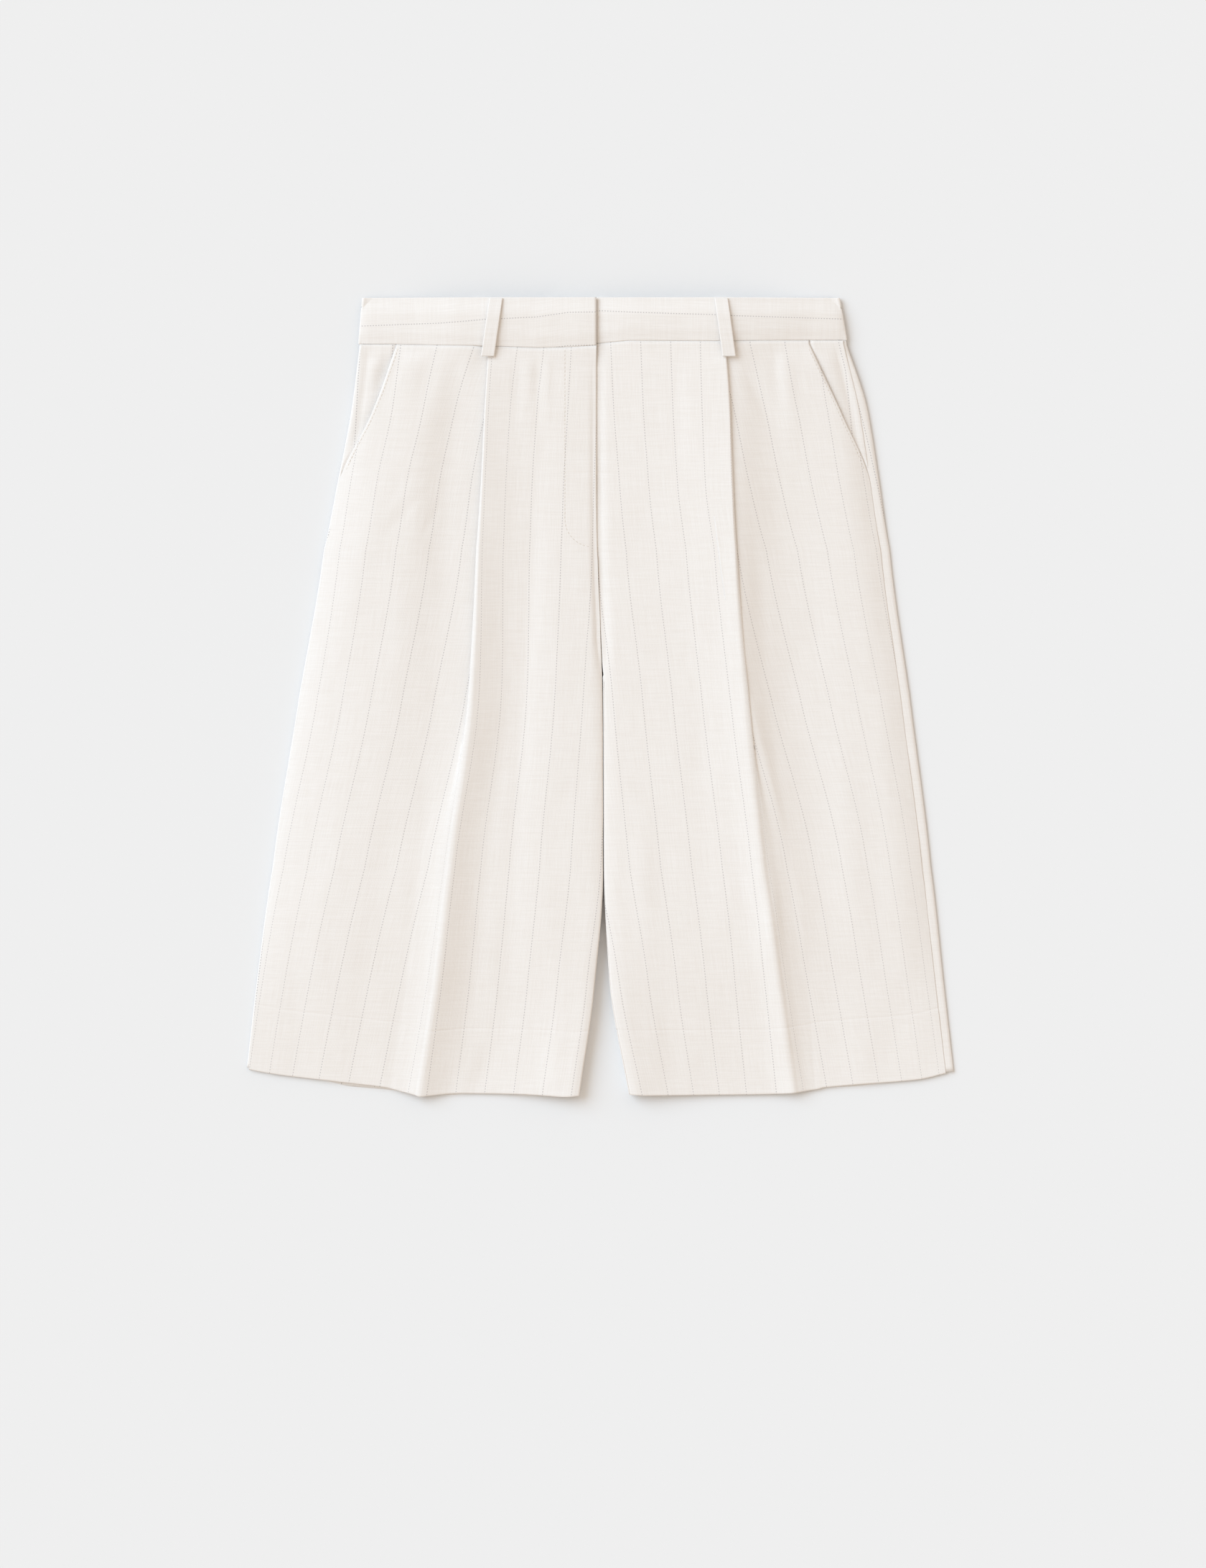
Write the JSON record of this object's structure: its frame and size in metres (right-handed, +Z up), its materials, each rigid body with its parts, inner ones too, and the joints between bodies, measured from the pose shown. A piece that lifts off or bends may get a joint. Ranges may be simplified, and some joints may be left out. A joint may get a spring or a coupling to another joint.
{
  "type": "bermuda shorts, laid flat",
  "caption": "Pleated high-waisted bermuda shorts in pinstriped off-white cloth, laid flat face up, with slant pockets, belt loops and a lapped fly.",
  "frame": {"origin": "centre of the flat underside, where the shorts lie on the surface", "axes": "+Z up out of the surface, towards the viewer, +Y towards the waist, +X towards the wearer's left leg"},
  "size_m": [0.5412, 0.6122, 0.0191],
  "materials": {
    "pinstripe_cloth": "plain-woven linen blend, off-white, dotted grey pinstripe every 25 mm",
    "zip_tape": "woven tape, off-white",
    "hook_metal": "nickel-plated steel, pressed"
  },
  "bodies": {
    "root": {"front_right": "pinstripe_cloth", "front_left": "pinstripe_cloth", "back_right": "pinstripe_cloth", "back_left": "pinstripe_cloth", "pocket_side_right": "pinstripe_cloth", "pocket_side_left": "pinstripe_cloth", "waistband_right": "pinstripe_cloth", "waistband_left": "pinstripe_cloth", "belt_loop_front_right": "pinstripe_cloth", "belt_loop_front_left": "pinstripe_cloth", "belt_loop_back_right": "pinstripe_cloth", "belt_loop_back_left": "pinstripe_cloth", "belt_loop_back_centre": "pinstripe_cloth", "zip": "zip_tape", "waist_hook": "hook_metal", "waist_bar": "hook_metal"}
  },
  "joints": []
}
